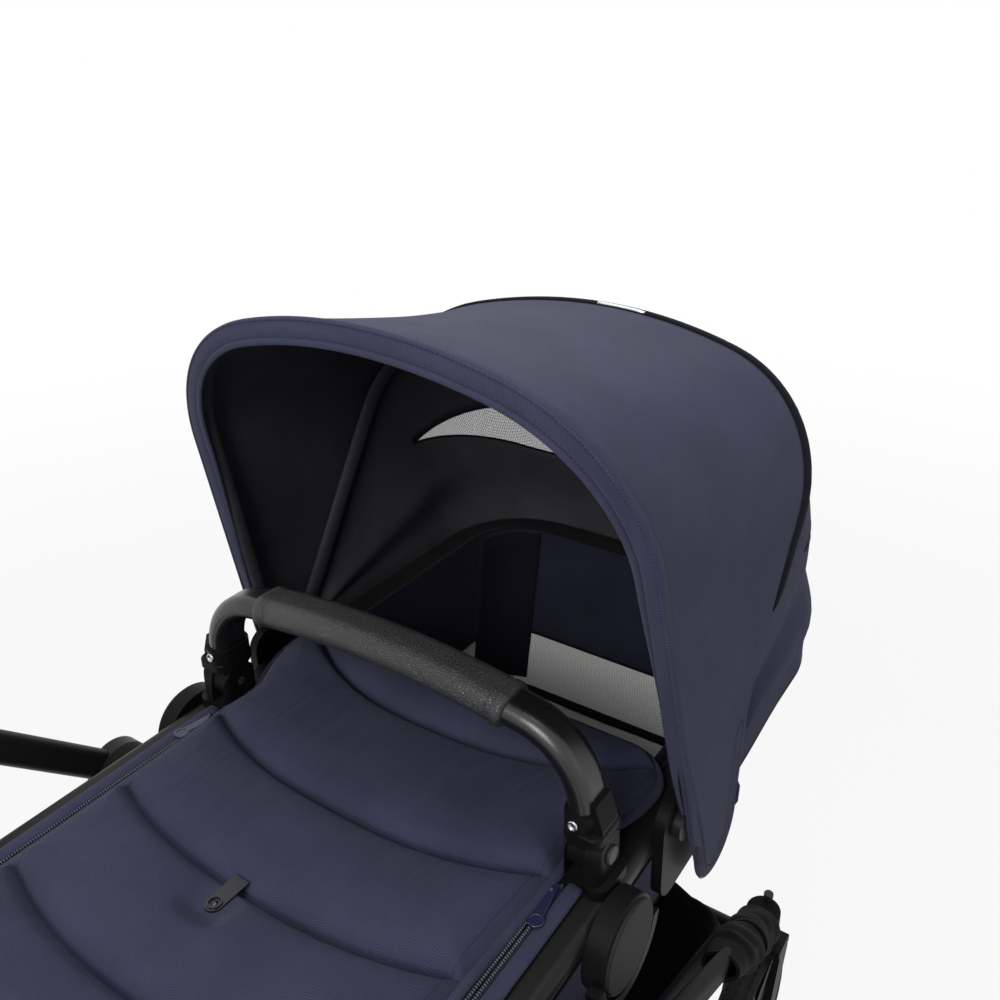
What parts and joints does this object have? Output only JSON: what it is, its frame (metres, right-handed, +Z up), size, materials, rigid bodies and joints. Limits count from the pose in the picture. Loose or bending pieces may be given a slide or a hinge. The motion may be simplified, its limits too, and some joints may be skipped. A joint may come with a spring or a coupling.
{
  "type": "baby stroller",
  "caption": "Pram-style baby stroller with a fabric bassinet, arched canopy, carry handle, fold-over handlebar, braked rear wheels, swivel front wheels and a basket.",
  "frame": {"origin": "on the floor, under the middle of the whole stroller's box", "axes": "+Y the way it travels, canopy end first; +Z up; +X to the right of someone who faces that way"},
  "size_m": [0.6268, 1.0618, 1.0706],
  "materials": {
    "navy_fabric": "woven melange twill",
    "grey_fabric": "light grey knit over foam",
    "black_fabric": "plain weave",
    "frame": "satin black anodised",
    "grip": "fine grain, stitched",
    "plastic": "fine texture",
    "cap": "satin grey",
    "gloss": "gloss navy",
    "steel": "plated",
    "tyre": "foam tyre",
    "zip_tape": "zip tape with coil teeth"
  },
  "bodies": {
    "chassis": {"bassinet_rim": "frame", "bassinet_tub": "navy_fabric", "mattress": "grey_fabric", "apron": "navy_fabric", "apron_zips": "zip_tape", "apron_tab": "steel", "handle_pins": "steel", "canopy_back": "navy_fabric", "canopy_binding": "black_fabric", "canopy_rear_bow": "plastic", "canopy_clamps": "plastic", "mount_drums": "plastic", "drum_caps": "cap", "hub_pivots": "steel", "hub_plates": "plastic", "handle_adapters": "plastic", "front_crossbar": "frame", "front_leg_right": "frame", "front_leg_left": "frame", "basket": "black_fabric", "basket_hangers": "black_fabric"},
    "carry_handle": {"carry_handle": "frame", "carry_grip": "grip", "handle_feet": "plastic"},
    "canopy_front": {"canopy_front_bow": "plastic", "canopy_top": "navy_fabric"},
    "rear_frame": {"rear_leg_right": "frame", "rear_leg_left": "frame", "rear_axle_bar": "frame", "rear_axle_pins": "steel"},
    "brake_pedal": {"brake_pedal": "plastic"},
    "handlebar": {"handlebar_lower_right": "frame", "handlebar_lower_left": "frame", "height_collars": "plastic", "lever_pins": "steel"},
    "push_bar": {"handlebar_upper": "frame", "handlebar_grip": "grip"},
    "zip_slider_right": {"zip_slider_right": "gloss"},
    "handle_button_right": {"handle_button_right": "gloss"},
    "castor_right": {"castor_fork_right": "plastic"},
    "front_wheel_right": {"front_tyre_right": "tyre", "front_rim_right": "plastic"},
    "swivel_lock_right": {"swivel_lock_right": "plastic"},
    "rear_wheel_right": {"rear_tyre_right": "tyre", "rear_rim_right": "plastic"},
    "brake_pin_right": {"brake_pin_right": "steel"},
    "clamp_lever_right": {"clamp_lever_right": "plastic"},
    "fold_slider_right": {"fold_slider_right": "plastic"},
    "zip_slider_left": {"zip_slider_left": "gloss"},
    "handle_button_left": {"handle_button_left": "gloss"},
    "castor_left": {"castor_fork_left": "plastic"},
    "front_wheel_left": {"front_tyre_left": "tyre", "front_rim_left": "plastic"},
    "swivel_lock_left": {"swivel_lock_left": "plastic"},
    "rear_wheel_left": {"rear_tyre_left": "tyre", "rear_rim_left": "plastic"},
    "brake_pin_left": {"brake_pin_left": "steel"},
    "clamp_lever_left": {"clamp_lever_left": "plastic"},
    "fold_slider_left": {"fold_slider_left": "plastic"}
  },
  "joints": [
    {"name": "carry_handle_fold", "type": "hinge", "parent": "chassis", "child": "carry_handle", "pos_m": [0, 0.03694, 0.68], "axis": [1, 0, 0], "range_deg": [0, 70]},
    {"name": "canopy_fold", "type": "hinge", "parent": "chassis", "child": "canopy_front", "pos_m": [0, 0.11893, 0.655], "axis": [-1, 0, 0], "range_deg": [0, 34], "deforming": ["canopy_top"]},
    {"name": "handlebar_fold", "type": "hinge", "parent": "chassis", "child": "handlebar", "pos_m": [0, -0.03807, 0.576], "axis": [-1, 0, 0], "range_deg": [0, 141]},
    {"name": "rear_leg_fold", "type": "hinge", "parent": "chassis", "child": "rear_frame", "pos_m": [0, -0.03807, 0.576], "axis": [1, 0, 0], "range_deg": [0, 47]},
    {"name": "push_bar_height", "type": "slide", "parent": "handlebar", "child": "push_bar", "axis": [0, -0.7163, 0.6977], "range_m": [0, 0.1]},
    {"name": "brake_pedal_turn", "type": "hinge", "parent": "rear_frame", "child": "brake_pedal", "pos_m": [0, -0.25306, 0.147], "axis": [1, 0, 0], "range_deg": [0, 25]},
    {"name": "zip_slide_right", "type": "slide", "parent": "chassis", "child": "zip_slider_right", "axis": [0, -1, 0], "range_m": [0, 0.25]},
    {"name": "handle_button_press_right", "type": "slide", "parent": "chassis", "child": "handle_button_right", "axis": [-1, 0, 0], "range_m": [0, 0.0025], "stiffness_N_per_m": 400},
    {"name": "castor_swivel_right", "type": "hinge", "parent": "chassis", "child": "castor_right", "pos_m": [0.234, 0.42694, 0.216], "axis": [0, 0, 1], "continuous": true},
    {"name": "front_wheel_spin_right", "type": "hinge", "parent": "castor_right", "child": "front_wheel_right", "pos_m": [0.234, 0.39193, 0.1], "axis": [1, 0, 0], "continuous": true},
    {"name": "swivel_lock_press_right", "type": "slide", "parent": "chassis", "child": "swivel_lock_right", "axis": [0, 0, -1], "range_m": [0, 0.005]},
    {"name": "rear_wheel_spin_right", "type": "hinge", "parent": "rear_frame", "child": "rear_wheel_right", "pos_m": [0.291, -0.25306, 0.147], "axis": [1, 0, 0], "continuous": true},
    {"name": "brake_pin_slide_right", "type": "slide", "parent": "rear_frame", "child": "brake_pin_right", "axis": [1, 0, 0], "range_m": [0, 0.008]},
    {"name": "clamp_lever_turn_right", "type": "hinge", "parent": "handlebar", "child": "clamp_lever_right", "pos_m": [0.2999, -0.33417, 0.89974], "axis": [1, 0, 0], "range_deg": [0, 110]},
    {"name": "fold_slider_pull_right", "type": "slide", "parent": "handlebar", "child": "fold_slider_right", "axis": [0, -0.7163, 0.6977], "range_m": [0, 0.012], "stiffness_N_per_m": 150},
    {"name": "zip_slide_left", "type": "slide", "parent": "chassis", "child": "zip_slider_left", "axis": [0, -1, 0], "range_m": [0, 0.25]},
    {"name": "handle_button_press_left", "type": "slide", "parent": "chassis", "child": "handle_button_left", "axis": [1, 0, 0], "range_m": [0, 0.0025], "stiffness_N_per_m": 400},
    {"name": "castor_swivel_left", "type": "hinge", "parent": "chassis", "child": "castor_left", "pos_m": [-0.234, 0.42694, 0.216], "axis": [0, 0, 1], "continuous": true},
    {"name": "front_wheel_spin_left", "type": "hinge", "parent": "castor_left", "child": "front_wheel_left", "pos_m": [-0.234, 0.39193, 0.1], "axis": [1, 0, 0], "continuous": true},
    {"name": "swivel_lock_press_left", "type": "slide", "parent": "chassis", "child": "swivel_lock_left", "axis": [0, 0, -1], "range_m": [0, 0.005]},
    {"name": "rear_wheel_spin_left", "type": "hinge", "parent": "rear_frame", "child": "rear_wheel_left", "pos_m": [-0.291, -0.25306, 0.147], "axis": [1, 0, 0], "continuous": true},
    {"name": "brake_pin_slide_left", "type": "slide", "parent": "rear_frame", "child": "brake_pin_left", "axis": [-1, 0, 0], "range_m": [0, 0.008]},
    {"name": "clamp_lever_turn_left", "type": "hinge", "parent": "handlebar", "child": "clamp_lever_left", "pos_m": [-0.2999, -0.33417, 0.89974], "axis": [1, 0, 0], "range_deg": [0, 110]},
    {"name": "fold_slider_pull_left", "type": "slide", "parent": "handlebar", "child": "fold_slider_left", "axis": [0, -0.7163, 0.6977], "range_m": [0, 0.012], "stiffness_N_per_m": 150}
  ],
  "couplings": [
    {"joint": "rear_leg_fold", "follows": "handlebar_fold", "ratio": 0.33333},
    {"joint": "brake_pin_slide_right", "follows": "brake_pedal_turn", "m_per_rad": 0.018106},
    {"joint": "brake_pin_slide_left", "follows": "brake_pedal_turn", "m_per_rad": 0.018106}
  ]
}
